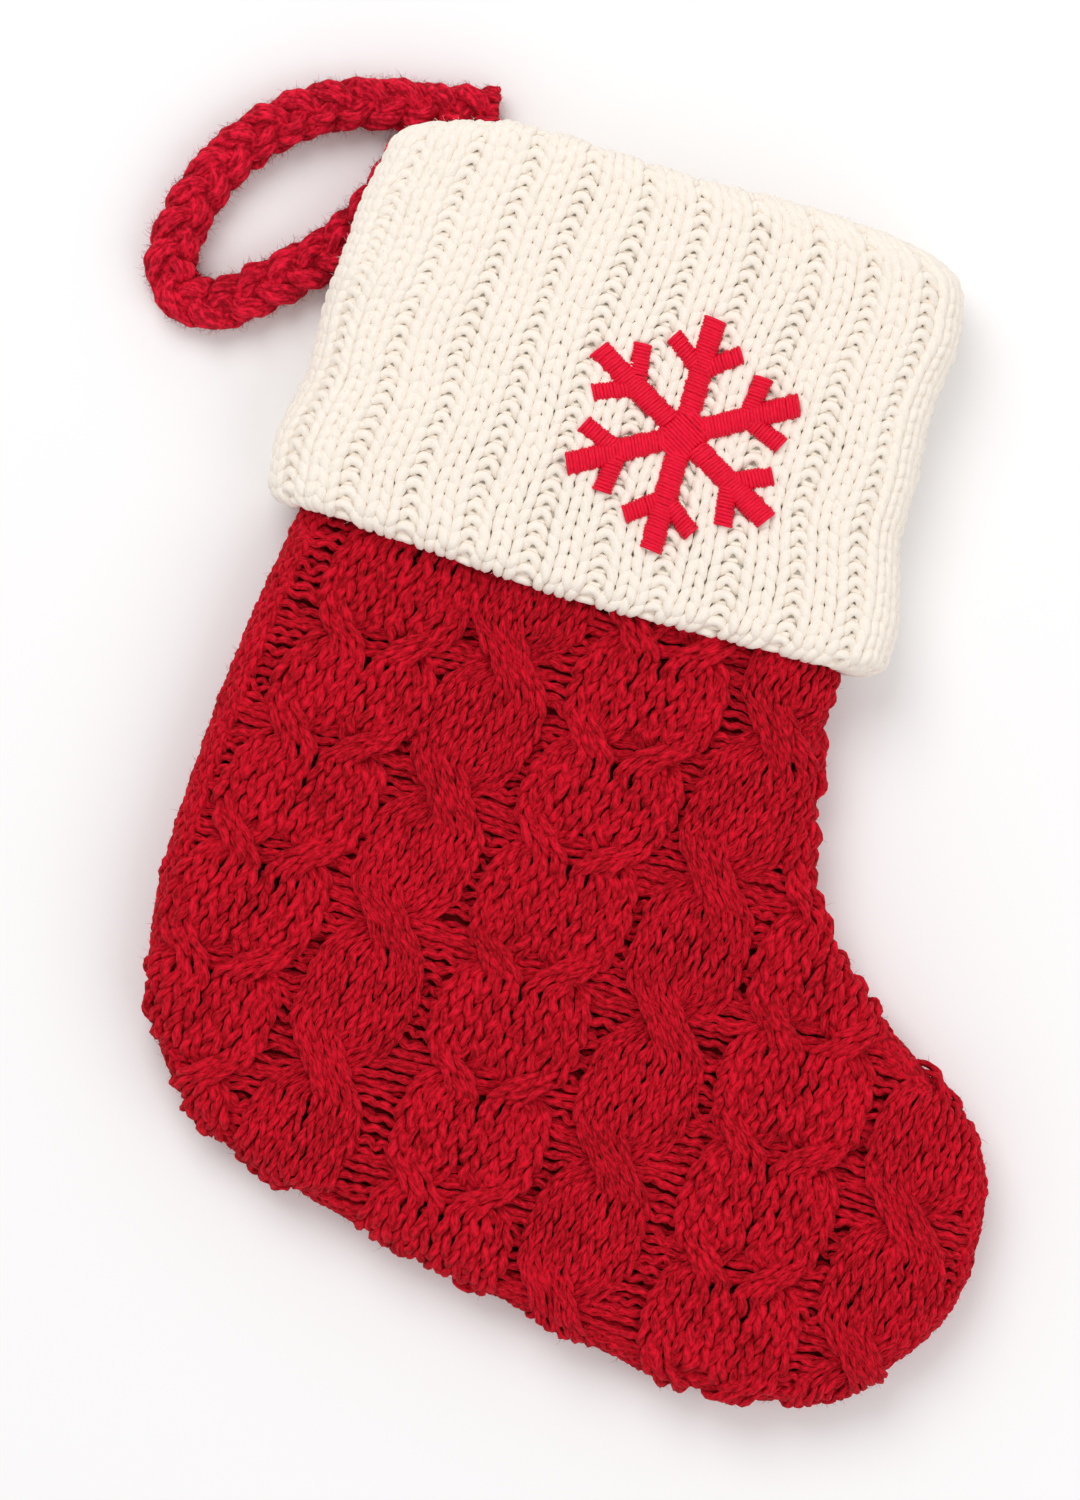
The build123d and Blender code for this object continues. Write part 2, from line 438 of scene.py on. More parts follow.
def wale_path(column, wale, y):
    """Where one wale of a cable runs: its x and its lift, down the rows."""
    kind = column[0]
    wide = WALE[kind]
    full = WALES / 2 * wide
    puffed = 0.45 + 0.55 * between(column, y)
    if kind == "rope":
        half, lift = turned(column, y, wale // 4)
        across = (wale % 4 + 4 * half - 3.5) * wide
        edge = across / full
    else:
        mirror = 1 if wale < 4 else -1
        half, lift = turned(column, y, wale % 4 // 2)
        across = mirror * (wale % 2 + 2 * half - 3.5) * wide
        edge = (np.abs(across) - full / 2) / (full / 2)
        lift = lift + HORSESHOE_LIFT
    lift = lift + CROWN[kind] * puffed * np.sqrt(np.clip(1 - edge ** 2, 0, 1))
    across = across * (1 + FLANK[kind] * (1 - (across / full) ** 2))
    return column_centre(column, y) + across * pinch(column, y), lift


def knit_wale(column, wale, side, sides=SIDES):
    """All the stitches of one wale that fall on the boot, as yarn tubes."""
    kind = column[0]
    course = COURSE[kind]
    y = np.arange(BOOT_TOP, BOOT_FOOT, -course) + rng.uniform(-0.2, 0.2)
    y = y + ROW_TILT[kind] * (wale - 3.5) * WALE[kind]
    step = 0.4
    x, _ = wale_path(column, wale, y)
    above, _ = wale_path(column, wale, y + step)
    below, _ = wale_path(column, wale, y - step)
    slope = np.clip((above - below) / (2 * step), -1.4, 1.4)
    d, _, _ = outline_distance(np.stack([x, y], axis=1))
    keep = d > EDGE_GAP["stitch"] - UNROLL
    if not keep.any():
        return None
    y, slope = y[keep], slope[keep]
    n = len(y)
    yarn = BOOT_YARN[kind] * (0.84 + 0.2 * np.sin(np.linspace(0, 2 * math.pi, len(KNIT))) ** 2)
    across, along, up = KNIT[None, :, 0], -KNIT[None, :, 1], KNIT[None, :, 2]
    width = WALE[kind] * (1 + FLANK[kind]) * rng.uniform(0.92, 1.08, n) * pinch(column, y)
    width = (width * (1 + slope ** 2) ** -0.35)[:, None]
    tall = course * rng.uniform(0.95, 1.05, (n, 1))
    lean = np.arctan(slope)[:, None] + rng.normal(0, 0.14, (n, 1))
    rows = y[:, None] + along * tall + rng.normal(0, 0.3, (n, 1))
    line_x, line_lift = wale_path(column, wale, rows)
    px = line_x + across * width * np.cos(lean) + rng.normal(0, 0.18, (n, 1))
    py = rows - across * width * np.sin(lean)
    height = line_lift + up * BOOT_YARN[kind] + rng.normal(0, 0.2, (n, 1))
    place = boot_place(np.stack([px, py, height], axis=-1), side)
    radius = yarn * rng.uniform(0.9, 1.08, (n, 1)) * (1 + slope[:, None] ** 2) ** -0.2
    return tubes(place, radius, sides=sides, **BOOT_PLY)


def fan(column, y):
    """How far a bar's end is drawn up or down towards the crossing beside it."""
    crossings = np.array(column[2], float)
    gap = crossings - y[:, None]
    near = np.argmin(np.abs(gap), axis=1)
    gap = gap[np.arange(len(y)), near]
    return 0.35 * gap * np.exp(-(gap / 6.5) ** 2)


def bare(column, y):
    """How far the twisted cable draws in from its column's edge beside each crossing."""
    gap = np.min(np.abs(y[:, None] - np.array(column[2], float)), axis=1)
    return BARE[column[0]] * np.exp(-(gap / (CROSSING[column[0]] * 0.4)) ** 2)


def gutter_ends(left, right, y):
    """The x at which the bars between two columns start and stop, tucked under the cables."""
    if left is None:
        x1 = column_centre(right, y) - half_width(right, y)
        x0 = np.minimum(x1 - 4, np.interp(y, HEEL_SIDE[:, 1], HEEL_SIDE[:, 0]))
    else:
        x0 = column_centre(left, y) + half_width(left, y)
        x1 = x0 + LAST_BAR if right is None else column_centre(right, y) - half_width(right, y)
        x0 = x0 - bare(left, y)
    if right is not None:
        x1 = x1 + bare(right, y)
    return x0 - BAR_TUCK, x1 + BAR_TUCK


def gutter_bars(left, right, side, sunk):
    """The purl bars between two columns; the front layer's are parted by small holes."""
    y = np.arange(BOOT_TOP - sunk, BOOT_FOOT, -COURSE["purl"] / 2)
    n = len(y)
    odd = (np.arange(n) % 2)[:, None]
    y = y + rng.uniform(-0.3, 0.3, n)
    x0, x1 = gutter_ends(left, right, y)
    ya = y if left is None else y + fan(left, y)
    yb = y if right is None else y + fan(right, y)
    t = np.linspace(0, 1, 13 if sunk else 21)[None]
    px = x0[:, None] + (x1 - x0)[:, None] * t
    drawn = np.zeros(n)
    for column in (left, right):
        if column is not None:
            drawn = np.maximum(drawn, bare(column, y) / BARE[column[0]])
    wild = (1 - 0.8 * drawn)[:, None]
    period = rng.uniform(3.0, 4.6, (n, 1))
    wave = wild * np.sin(2 * np.pi * px / period + rng.uniform(0, 2 * math.pi, (n, 1)))
    ends = smoothstep((np.abs(2 * t - 1) - 0.3) / 0.6)
    pair = 0.5 * np.where(odd == 1, 1, -1) * ends * (1 - wild)
    py = ya[:, None] + (yb - ya)[:, None] * t + 0.42 * wave + pair
    height = GUTTER_DEPTH - 0.9 * np.abs(2 * t - 1) ** 6 + 0.3 * wave + rng.normal(0, 0.3, (n, 1))
    height = height - sunk
    hole_y = np.arange(BOOT_TOP - rng.uniform(0, 8), BOOT_FOOT, -HOLE_PITCH)
    hole_y = hole_y + rng.uniform(-2.5, 2.5, len(hole_y))
    hole_x = np.interp(-hole_y, -y, (x0 + x1) / 2) + rng.uniform(-1.6, 1.6, len(hole_y))
    holes = [] if sunk else zip(hole_x, hole_y)
    for hx, hy in holes:
        near = np.exp(-((px - hx) / HOLE_SIZE[0]) ** 2 - ((py - hy) / HOLE_SIZE[1]) ** 2)
        py = py + 1.1 * np.tanh((py - hy) / 0.5) * near
        height = height - 0.5 * near
    d, _, _ = outline_distance(np.stack([px.mean(axis=1), y], axis=1))
    keep = d > EDGE_GAP["bar"] - UNROLL
    if not keep.any():
        return None
    place = boot_place(np.stack([px, py, height], axis=-1)[keep], side)
    thick = BOOT_YARN["purl"] * (0.86 if sunk else 0.96)
    radius = thick * rng.uniform(0.85, 1.1, (len(place), 1))
    sides = COARSE_SIDES if side < 0 else 6 if sunk else SIDES
    return tubes(place, radius, sides=sides, **BOOT_PLY)


def centre_bars(column, side):
    """Short bars that cross the opening above the middle of each horseshoe crossing."""
    y = np.concatenate([crossing + CENTRE_BAR_ROWS for crossing in column[2]])
    y = y + rng.uniform(-0.25, 0.25, len(y))
    y = y[y < BOOT_TOP]
    t = np.linspace(-1, 1, 11)[None]
    px = column_centre(column, y)[:, None] + CENTRE_BAR_HALF * t
    py = y[:, None] - 0.5 * (1 - t ** 2) + 0.25 * np.sin(4 * t)
    height = np.broadcast_to(-0.75 - 0.8 * t ** 4, px.shape)
    d, _, _ = outline_distance(np.stack([px.mean(axis=1), y], axis=1))
    keep = d > EDGE_GAP["bar"] - UNROLL
    if not keep.any():
        return None
    place = boot_place(np.stack([px, py, height], axis=-1)[keep], side)
    return tubes(place, BOOT_YARN["purl"], **BOOT_PLY)


def boot_core(side, material):
    """The fabric's closed ground, behind the stitches; its colour, darker than the yarn, is painted
    shade for the gaps between them.
    """
    xs = np.arange(*GROUND_X, GROUND_STEP)
    ys = np.arange(BOOT_FOOT, GROUND_TOP, GROUND_STEP)
    gx, gy = np.meshgrid(xs, ys)
    grid = np.stack([gx, gy], axis=-1)
    d, foot, inward = outline_distance(grid)
    rim = -UNROLL
    moved = np.where((d < rim)[..., None], foot + inward * rim, grid)
    inside = d > rim - GROUND_STEP * 1.5
    sheets = []
    for depth in BOOT_GROUND:
        points = np.concatenate([moved, np.full(gx.shape + (1,), depth)], axis=-1)
        sheets.append(boot_place(points, side).reshape(-1, 3))
    n, m = gx.shape
    index = np.arange(n * m).reshape(n, m)
    quads = np.stack([index[:-1, :-1], index[:-1, 1:], index[1:, 1:], index[1:, :-1]], axis=-1)
    some = inside[:-1, :-1] & inside[:-1, 1:] & inside[1:, 1:] & inside[1:, :-1]
    quads = quads[some]
    verts = np.vstack(sheets)
    faces = [quads, quads[:, ::-1] + n * m]
    edges = {}  # directed edges in the order met; one without its opposite is on the rim
    for quad in quads:
        for a, b in zip(quad, np.roll(quad, -1)):
            edges[(a, b)] = True
    rims = [(b, a, a + n * m, b + n * m) for a, b in edges if (b, a) not in edges]
    faces.append(np.array(rims))
    name = "boot_front_ground" if side > 0 else "boot_back_ground"
    return mesh_object(name, verts, faces, material, "stocking")


def edge_seam(material):
    """Rows of small stitches along the boot's edge that join the panels, two only on the leg."""
    run = np.concatenate([[0], np.cumsum(np.linalg.norm(np.diff(EDGE, axis=0), axis=1))])
    groups = []
    for turn in SEAM_TURNS:
        along = np.arange(2, run[-1] - 4, SEAM_STITCH) + rng.uniform(0, 1.5)
        if abs(turn) == max(SEAM_TURNS):
            along = along[np.interp(along, run, EDGE[:, 1]) > LEG_ABOVE]
        n = len(along)
        across, forward, up = KNIT[None, :, 0], KNIT[None, :, 1], KNIT[None, :, 2]
        s = along[:, None] + forward * SEAM_STITCH * rng.uniform(0.92, 1.08, (n, 1))
        x, y = np.interp(s, run, EDGE[:, 0]), np.interp(s, run, EDGE[:, 1])
        ahead = unit(np.stack([np.interp(s + 1, run, EDGE[:, 0]) - x,
                               np.interp(s + 1, run, EDGE[:, 1]) - y], axis=-1))
        angle = turn + rng.normal(0, 0.03, (n, 1)) + across * SEAM_WIDTH / BOOT_ROUND
        reach = BOOT_ROUND - 0.2 + up * BOOT_YARN["purl"] + rng.normal(0, 0.12, (n, 1))
        inset = BOOT_ROUND - reach * np.cos(angle)
        px = x - ahead[..., 1] * inset
        py = y + ahead[..., 0] * inset
        pz = boot_middle(y) + reach * np.sin(angle)
        place = np.stack([px, py, pz], axis=-1)[y[:, 0] < BOOT_TOP]
        groups.append(tubes(place, BOOT_YARN["purl"], sides=COARSE_SIDES, ply=0.2, twist=3.2))
    return yarn_object("boot_edge_stitches", groups, material, "stocking")


# ---------------------------------------------------------------- cuff surface
def cuff_profile(v):
    """Along the band: how far in it is, its y, and its normal's outward and upward parts."""
    hem = HEM_ROUND * math.pi / 2
    wall = CUFF_Y[1] - FOLD_ROUND - CUFF_Y[0] - HEM_ROUND
    fold = FOLD_ROUND * math.pi
    a = np.clip(v / HEM_ROUND, 0, math.pi / 2)
    b = np.clip((v - hem - wall) / FOLD_ROUND, 0, math.pi)
    inner = np.maximum(v - hem - wall - fold, 0)
    straight = np.clip(v - hem, 0, wall)
    depth = HEM_ROUND * (1 - np.sin(a)) + FOLD_ROUND * (1 - np.cos(b))
    y = CUFF_Y[0] + HEM_ROUND * (1 - np.cos(a)) + straight + FOLD_ROUND * np.sin(b) - inner
    out = np.where(v < hem, np.sin(a), np.cos(b))
    up = np.where(v < hem, -np.cos(a), np.sin(b))
    return depth, y, out, up


CUFF_LENGTH = (HEM_ROUND * math.pi / 2 + CUFF_Y[1] - FOLD_ROUND - CUFF_Y[0] - HEM_ROUND
               + FOLD_ROUND * math.pi + INNER_PLY)


def corner(y, low, radius):
    """How far a rounded corner pulls the side in at a height above its start."""
    rise = np.clip((y - low) / radius, 0, 1)
    return radius * (1 - np.sqrt(1 - rise ** 2))


def cuff_sides(y):
    """The middles of the cuff's left and right edge rolls at a height."""
    bottom, top = CUFF_Y
    wave = 0.4 * np.sin(y * 0.23 + 0.7)
    ends = []
    for line, low, high in zip((CUFF_LEFT, CUFF_RIGHT), HEM_CORNER, FOLD_CORNER):
        line = np.array(line, float)
        pull = corner(y, top - high, high) + corner(-y, -bottom - low, low)
        ends.append((np.interp(y, line[:, 0], line[:, 1]), pull + CUFF_HALF + wave))
    return ends[0][0] + ends[0][1], ends[1][0] - ends[1][1]


CUFF_FLAT = CUFF_RIGHT[-1][1] - CUFF_LEFT[-1][1] - 2 * CUFF_HALF
CUFF_ROUND_RUN = math.pi * CUFF_HALF
CUFF_GIRTH = 2 * (CUFF_FLAT + CUFF_ROUND_RUN)
CUFF_WALE = CUFF_GIRTH / (3 * CUFF_REPEATS)


def prop_on_cord(points):
    """Lifts the cuff's back corner over the cord that passes beneath it: the new heights."""
    x, y, z = points[..., 0], points[..., 1], points[..., 2]
    across = smoothstep((PROP_START[0] - x) / PROP_RUN[0])
    share = across * smoothstep((y - PROP_START[1]) / PROP_RUN[1])
    top = CUFF_MID + CUFF_HALF + 1
    raised = CORD_TOP + CORD_GAP + (z - 0.1) * (top - CORD_TOP - CORD_GAP) / top
    return z + share * (raised - z)


def cuff_place(around, v, h):
    """Carries band coordinates onto the cuff: millimetres round it, along it, and height."""
    depth, y, out, up = cuff_profile(v)
    around = np.mod(around, CUFF_GIRTH)
    radius = CUFF_HALF - depth + h * out
    y = y + h * up
    left, right = cuff_sides(y)
    length = right - left
    # Round the band: the front, the right roll, the back and the left roll
    q = around / CUFF_FLAT
    x = left + q * length
    z = radius
    arc = (around - CUFF_FLAT) / CUFF_HALF
    on = (around > CUFF_FLAT) & (around <= CUFF_FLAT + CUFF_ROUND_RUN)
    x = np.where(on, right + radius * np.sin(arc), x)
    z = np.where(on, radius * np.cos(arc), z)
    q = (around - CUFF_FLAT - CUFF_ROUND_RUN) / CUFF_FLAT
    on = (around > CUFF_FLAT + CUFF_ROUND_RUN) & (around <= 2 * CUFF_FLAT + CUFF_ROUND_RUN)
    x = np.where(on, right - q * length, x)
    z = np.where(on, -radius, z)
    arc = (around - 2 * CUFF_FLAT - CUFF_ROUND_RUN) / CUFF_HALF
    on = around > 2 * CUFF_FLAT + CUFF_ROUND_RUN
    x = np.where(on, left - radius * np.sin(arc), x)
    z = np.where(on, -radius * np.cos(arc), z)
    sag = 0.7 * np.sin(x * 0.07 + 0.4) * np.sin(y * 0.06)
    z = CUFF_MID + z * (1 + 0.05 * sag)
    # The hem keeps its own line, the rows above it wave, and the top falls off at both ends
    low = 1 - smoothstep((y - 40) / 30)
    line = np.array(HEM_LINE, float)
    wave = ROW_WAVE * np.sin(x * 0.11 + 1.0)
    y = y + wave * (1 - low) + np.interp(x, line[:, 0], line[:, 1]) * low
    y = y - TOP_FALL[1] * np.clip(x - TOP_FALL[0], 0, 40) * smoothstep((y - 70) / 40)
    y = y - TOP_SLOPE[1] * np.clip(TOP_SLOPE[0] - x, 0, 30) * smoothstep((y - 70) / 40)
    out = np.stack([x, y, z], axis=-1)
    out[..., 2] = np.maximum(prop_on_cord(out), FABRIC_FLOOR)
    return out


def cuff_wale(number):
    """One wale of the k2 p1 rib, from the hem over the fold and down inside."""
    v = np.arange(0.6, CUFF_LENGTH, CUFF_COURSE)
    n = len(v)
    repeat, place = divmod(number, 3)
    centre = RIB_START + 3 * CUFF_WALE * (repeat + RIB_PLACES[place]) - 0.025 * (CUFF_LENGTH - v)
    centre = centre + 0.35 * np.sin(v * 0.12 + repeat * 2.1) + rng.normal(0, 0.04, n)
    purl = place == 2
    groups = []
    for kind in ("purl", "sunk") if purl else ("knit",):
        template, base, share, fat, full = RIB_STITCHES[kind]
        across, along, up = template[None, :, 0], template[None, :, 1], template[None, :, 2]
        spacing = 3 * CUFF_WALE * (PURL_SHARE if purl else (1 - PURL_SHARE) / 2)
        width = spacing * rng.uniform(0.94, 1.06, (n, 1))
        tall = CUFF_COURSE * rng.uniform(0.95, 1.05, (n, 1))
        lean = rng.normal(0, 0.08 if purl else 0.02, (n, 1))
        a = centre[:, None] + across * width + along * tall * lean
        b = v[:, None] + along * tall - across * width * lean + rng.normal(0, 0.1, (n, 1))
        h = base + up * CUFF_YARN * 0.85 + rng.normal(0, 0.07, (n, 1))
        path = cuff_place(a, b, h)
        swell = 1 + fat * np.sin(np.linspace(0, 2 * math.pi, len(template))) ** 2
        away = np.hypot(path[..., 0] - MOTIF_CENTRE[0], path[..., 1] - MOTIF_CENTRE[1])
        radius = CUFF_YARN * share * rng.uniform(0.94, 1.05, (n, 1)) * swell
        radius = radius * (full - DRAWN_IN * np.exp(-(away / DRAWN_REACH) ** 2))
        groups.append(tubes(path, radius, ply=0.08))
    return groups


def cuff_core(material):
    """The cuff's closed ground, behind the stitches; its colour, greyer and darker than the cream
    yarn, is painted shade for the holes between them.
    """
    a = np.linspace(0, CUFF_GIRTH, 161)[:-1]
    v = np.linspace(0.8, CUFF_LENGTH - 1, 61)
    ga, gv = np.meshgrid(a, v)
    sheets = [cuff_place(ga, gv, np.full(ga.shape, depth)).reshape(-1, 3) for depth in CUFF_GROUND]
    n, m = ga.shape
    index = np.arange(n * m).reshape(n, m)
    nxt = np.roll(index, -1, axis=1)
    quads = np.stack([index[:-1], nxt[:-1], nxt[1:], index[1:]], axis=-1).reshape(-1, 4)
    low = np.stack([nxt[0], index[0], index[0] + n * m, nxt[0] + n * m], axis=-1)
    high = np.stack([index[-1], nxt[-1], nxt[-1] + n * m, index[-1] + n * m], axis=-1)
    faces = [quads, quads[:, ::-1] + n * m, low, high]
    return mesh_object("cuff_ground", np.vstack(sheets), faces, material, "stocking")


# ---------------------------------------------------------------- plaited cord
def nurbs_points(name, route):
    """The smooth points of a NURBS line with the route as its control points."""
    curve = bpy.data.curves.new(name, "CURVE")
    curve.dimensions = "3D"
    line = curve.splines.new("NURBS")
    line.points.add(len(route) - 1)
    for point, (x, y) in zip(line.points, route):
        point.co = (x * MM, y * MM, CORD_Z * MM, 1)
    line.order_u = 3
    line.use_endpoint_u = True
    line.resolution_u = 12
    obj = bpy.data.objects.new(name, curve)
    mesh = bpy.data.meshes.new_from_object(obj)
    points = np.array([v.co for v in mesh.vertices]) / MM
    bpy.data.objects.remove(obj)
    bpy.data.meshes.remove(mesh)
    return points


def resample(points, step):
    """Evenly spaced points along a line, and how far along it each lies."""
    run = np.concatenate([[0], np.cumsum(np.linalg.norm(np.diff(points, axis=0), axis=1))])
    s = np.linspace(0, run[-1], max(int(run[-1] / step), 8))
    return np.stack([np.interp(s, run, points[:, k]) for k in range(3)], axis=1), s


def plait(points, joined=False):
    """Three plaited strands, each of four yarns round a core; a joined one ends at phase 0."""
    line, s = resample(points, CORD_STEP)
    ahead = unit(np.gradient(line, axis=0))
    flat = unit(np.cross((0, 0, 1.0), ahead))
    up = np.cross(ahead, flat)
    spread = CORD_WIDTH / 2 - STRAND_HALF
    start = -s[-1] if joined else 0.0
    groups = []
    for strand_number in range(3):
        phase = 2 * np.pi * ((s + start) / PLAIT_LENGTH + strand_number / 3)
        side = spread * np.tanh(1.5 * np.sin(phase)) / np.tanh(1.5)
        rise = STRAND_RISE * np.sin(2 * phase)
        middle = line + flat * side[:, None] + up * rise[:, None]
        for yarn_number in range(STRAND_YARNS + 1):
            roll = 2 * np.pi * ((s + start) / STRAND_TURN + yarn_number / STRAND_YARNS)
            inside = yarn_number == STRAND_YARNS
            reach = 0 if inside else STRAND_REACH + 0.1 * np.sin(s * 0.9 + 2 * yarn_number)[:, None]
            offset = reach * (np.cos(roll)[:, None] * flat + np.sin(roll)[:, None] * up)
            path = middle + offset
            path[:, 2] = np.maximum(path[:, 2], STRAND_YARN + 0.15)
            thick = STRAND_CORE if inside else STRAND_YARN
            radius = thick * (1 + 0.06 * np.sin(s * 1.7 + yarn_number + strand_number))
            if joined:
                radius = radius * (1 - 0.25 * smoothstep((2 - s) / 2))
            groups.append(tubes(path[None], radius[None], ply=0.12, twist=4.2))
    path = line + up * (0.2 * np.sin(s)[:, None])
    groups.append(tubes(path[None], np.full((1, len(s)), CORD_CORE), ply=0.1, twist=6.0))
    return groups, line


# ---------------------------------------------------------------- satin snowflake
def satin_bar(origin, angle, start, end, width, crown, slant=0.0):
    """Threads laid side by side across a bar, each a low arch that dives in at both edges."""
    n = int((end - start) / THREAD_PITCH)
    along = np.linspace(start, end, n)[:, None] + rng.normal(0, 0.03, (n, 1))
    t = np.linspace(-1, 1, 13)[None]
    half = width / 2 * (1 + rng.normal(0, 0.035, (n, 1)))
    a = along + slant * t * half
    b = t * half
    z = crown * np.sqrt(np.clip(1 - (t * 0.985) ** 2, 0, 1)) - 0.7 * np.abs(t) ** 10
    z = z + rng.normal(0, 0.07, (n, 1))
    ca, sa = math.cos(angle), math.sin(angle)
    x = origin[0] + a * ca - b * sa
    y = origin[1] + a * sa + b * ca
    return tubes(np.stack([x, y, SATIN_BASE + z], axis=-1), THREAD, sides=6, ply=0.05, twist=2.0)


def snowflake(material):
    """The hub and the six branched spokes, in the CAD hub's place."""
    low, high = np.array(MOTIF[0]) / MM, np.array(MOTIF[1]) / MM
    centre = (low + high) / 2
    groups = [satin_bar(centre, math.radians(60), -HUB_FLAT, HUB_FLAT, 2 * HUB_FLAT * 0.95, 1.5)]
    hub, _, _ = yarn_object("snowflake_hub_satin", groups, material, "stocking")
    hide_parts("snowflake_hub")
    for number in range(6):
        angle = math.radians(30 + 60 * number)
        groups = [satin_bar(centre, angle, HUB_FLAT - 0.6, SPOKE_TIP, SPOKE_WIDTH, 1.4, 0.12)]
        root = centre[:2] + BRANCH_ROOT * np.array([math.cos(angle), math.sin(angle)])
        for side in (-1, 1):
            turn = angle + side * math.radians(BRANCH_ANGLE)
            groups.append(satin_bar(root, turn, 1.4, BRANCH_LENGTH, BRANCH_WIDTH, 1.2, -0.1 * side))
        name = "snowflake_spoke_satin_%d" % (number + 1)
        spoke, _, _ = yarn_object(name, groups, material, "stocking")
        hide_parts("snowflake_spoke_%d" % (number + 1))


# ---------------------------------------------------------------- fibres
def fuzz(name, verts, ring, count, length, material, body):
    """Loose fibres that stand off the yarn, so that its outline is soft."""
    pick = rng.integers(0, len(verts), count)
    base, out = verts[pick], ring[pick]
    drift = unit(rng.normal(0, 1, (count, 3)))
    reach = length * rng.uniform(0.35, 1.0, (count, 1)) ** 1.5
    t = np.array([0, 0.5, 1])[None, :, None]
    bend = unit(np.cross(out, drift))
    path = (base[:, None] + reach[:, None] * (out[:, None] * (t - 0.35 * t ** 2)
            + bend[:, None] * t ** 1.4 * 0.9 + drift[:, None] * t ** 2 * 0.45))
    path[..., 2] = np.maximum(path[..., 2], FIBRE_FLOOR)
    radius = FIBRE * (1 - 0.6 * t[:, :, 0])
    obj, _, _ = yarn_object(name, [tubes(path, radius, sides=3, ply=0)], material, body)
    return obj


# ---------------------------------------------------------------- materials
def yarn_material(name, deep, light, rough, sheen, streak, bump, edges=(0.36, 0.64)):
    """Yarn: fibre streaks that run along it, patchy dye, a soft sheen."""
    mat = bpy.data.materials.new(name)
    mat.use_nodes = True
    nodes, links = mat.node_tree.nodes, mat.node_tree.links
    shader = nodes["Principled BSDF"]
    attribute = nodes.new("ShaderNodeAttribute")
    attribute.attribute_name = "yarn"
    scale = nodes.new("ShaderNodeVectorMath")
    scale.operation = "MULTIPLY"
    scale.inputs[1].default_value = (0.5, 1.0, 1.0)
    links.new(attribute.outputs["Vector"], scale.inputs[0])
    fibre = nodes.new("ShaderNodeTexNoise")
    fibre.inputs["Scale"].default_value = streak
    fibre.inputs["Detail"].default_value = 3.0
    links.new(scale.outputs[0], fibre.inputs["Vector"])
    place = nodes.new("ShaderNodeTexCoord")
    patch = nodes.new("ShaderNodeTexNoise")
    patch.inputs["Scale"].default_value = 90.0
    patch.inputs["Detail"].default_value = 2.0
    links.new(place.outputs["Object"], patch.inputs["Vector"])
    blend = nodes.new("ShaderNodeMath")
    blend.operation = "MULTIPLY_ADD"
    blend.inputs[1].default_value = 0.85
    links.new(fibre.outputs["Fac"], blend.inputs[0])
    part = nodes.new("ShaderNodeMath")
    part.operation = "MULTIPLY"
    part.inputs[1].default_value = 0.15
    links.new(patch.outputs["Fac"], part.inputs[0])
    links.new(part.outputs[0], blend.inputs[2])
    ramp = nodes.new("ShaderNodeValToRGB")
    ramp.color_ramp.elements[0].position = edges[0]
    ramp.color_ramp.elements[0].color = (*deep, 1)
    ramp.color_ramp.elements[1].position = edges[1]
    ramp.color_ramp.elements[1].color = (*light, 1)
    links.new(blend.outputs[0], ramp.inputs["Fac"])
    links.new(ramp.outputs["Color"], shader.inputs["Base Color"])
    relief = nodes.new("ShaderNodeBump")
    relief.inputs["Strength"].default_value = bump
    relief.inputs["Distance"].default_value = 0.0005
    links.new(fibre.outputs["Fac"], relief.inputs["Height"])
    links.new(relief.outputs["Normal"], shader.inputs["Normal"])
    shader.inputs["Roughness"].default_value = rough
    shader.inputs["Specular IOR Level"].default_value = 0.12
    shader.inputs["Sheen Weight"].default_value = sheen
    shader.inputs["Sheen Roughness"].default_value = 0.5
    shader.inputs["Sheen Tint"].default_value = (*[min(1.0, c * 1.1 + 0.12) for c in light], 1)
    return mat


def plain_material(name, colour, rough):
    """One even, matt colour."""
    mat = bpy.data.materials.new(name)
    mat.use_nodes = True
    shader = mat.node_tree.nodes["Principled BSDF"]
    shader.inputs["Base Color"].default_value = (*colour, 1)
    shader.inputs["Roughness"].default_value = rough
    shader.inputs["Specular IOR Level"].default_value = 0.2
    return mat


# ---------------------------------------------------------------- building
def panel_stitches(side, word):
    """The name and the yarn tubes of each of a panel's objects, one at a time."""
    sides = SIDES if side > 0 else COARSE_SIDES
    for number, column in enumerate(COLUMNS):
        groups = [knit_wale(column, wale, side, sides) for wale in range(WALES)]
        if column[0] == "horseshoe":
            groups.append(centre_bars(column, side))
        yield "boot_%s_%s_cable_%d" % (word, column[0], number + 1), groups
    gutters = list(zip([None] + COLUMNS, COLUMNS + [None]))
    for layer, sunk in (("purl_gutters", 0.0), ("sunk_bars", SUNK)):
        groups = [gutter_bars(left, right, side, sunk) for left, right in gutters]
        yield "boot_%s_%s" % (word, layer), groups


def build_panel(side, node, word, hairs, red, ground):
    """One panel of the boot: its ground, its stitches and its loose fibres."""
    core = boot_core(side, ground)
    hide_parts(node)
    all_verts, all_rings = [], []
    for name, groups in panel_stitches(side, word):
        groups = [group for group in groups if group is not None]
        piece, verts, ring = yarn_object(name, groups, red, "stocking")
        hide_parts(node)
        all_verts.append(verts)
        all_rings.append(ring)
    verts, rings = np.vstack(all_verts), np.vstack(all_rings)
    for number, count in enumerate(hairs):
        name = "boot_%s_fibres_%d" % (word, number + 1)
        hair = fuzz(name, verts, rings, count, 1.9, red, "stocking")
        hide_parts(node)


def build_boot(red, ground):
    """Both panels, and the seam that joins them."""
    build_panel(1, "boot_front_panel", "front", (13000, 13000), red, ground)
    build_panel(-1, "boot_back_panel", "back", (7000,), red, ground)
    seam, verts, ring = edge_seam(red)
    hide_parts("boot_edge_seam")
    hair = fuzz("boot_edge_fibres", verts, ring, 9000, 1.6, red, "stocking")
    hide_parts("boot_edge_seam")


